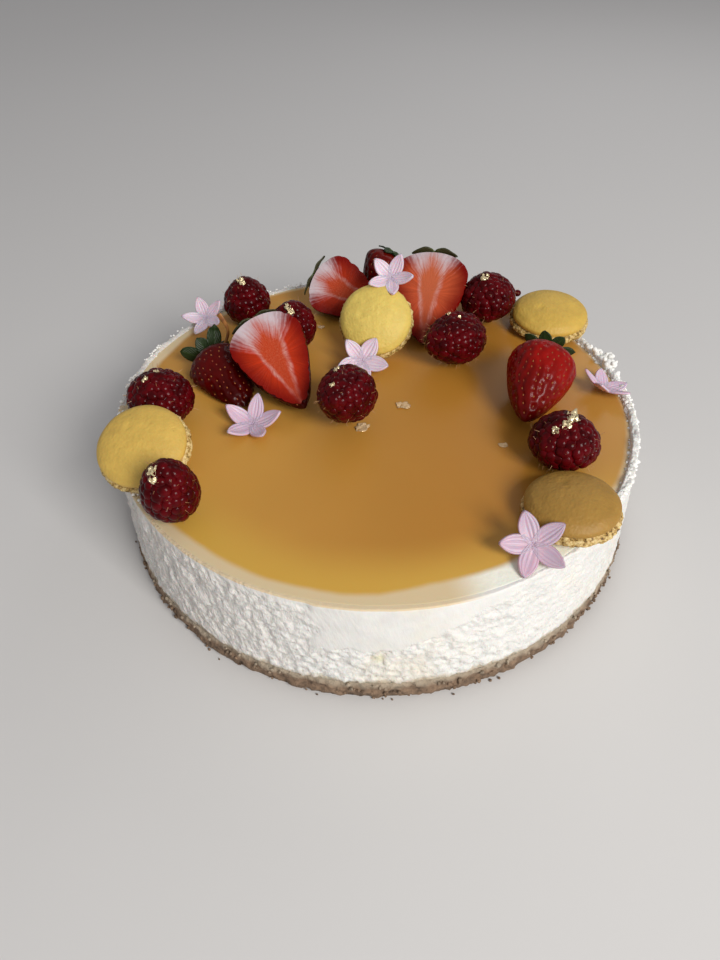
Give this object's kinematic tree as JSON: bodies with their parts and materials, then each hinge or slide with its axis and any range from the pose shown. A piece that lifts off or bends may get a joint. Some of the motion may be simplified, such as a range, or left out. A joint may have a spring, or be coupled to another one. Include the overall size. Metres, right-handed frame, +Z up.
{
  "type": "mango cheesecake",
  "caption": "Round baked mango cheesecake on a biscuit base with a glossy mango jelly top, raspberries, strawberries, macaron shells, sugar flowers and gold leaf.",
  "frame": {"origin": "centre of the cake's flat underside", "axes": "+Z up through the middle of the cake, -Y towards the side that faces the camera"},
  "size_m": [0.2066, 0.2066, 0.0823],
  "materials": {
    "biscuit": "matte crumb",
    "cheesecake": "matte",
    "jelly": "wet gloss",
    "raspberry": "moist satin",
    "strawberry": "moist gloss",
    "leaf": "soft matte",
    "macaron": "matte",
    "gold_leaf": "crumpled, bright",
    "sugar": "satin"
  },
  "bodies": {
    "root": {"biscuit_base": "biscuit", "cheesecake_filling": "cheesecake", "mango_jelly": "jelly", "raspberry_01": "raspberry", "raspberry_02": "raspberry", "raspberry_03": "raspberry", "raspberry_04": "raspberry", "raspberry_05": "raspberry", "raspberry_06": "raspberry", "raspberry_07": "raspberry", "raspberry_08": "raspberry", "strawberry_01": "strawberry", "calyx_01": "leaf", "sugar_flower_01": "sugar", "strawberry_02": "strawberry", "calyx_02": "leaf", "sugar_flower_02": "sugar", "strawberry_03": "strawberry", "calyx_03": "leaf", "sugar_flower_03": "sugar", "strawberry_04": "strawberry", "calyx_04": "leaf", "sugar_flower_04": "sugar", "strawberry_05": "strawberry", "calyx_05": "leaf", "sugar_flower_05": "sugar", "strawberry_06": "strawberry", "calyx_06": "leaf", "sugar_flower_06": "sugar", "macaron_shell_01": "macaron", "macaron_shell_02": "macaron", "macaron_shell_03": "macaron", "macaron_shell_04": "macaron"}
  },
  "joints": []
}
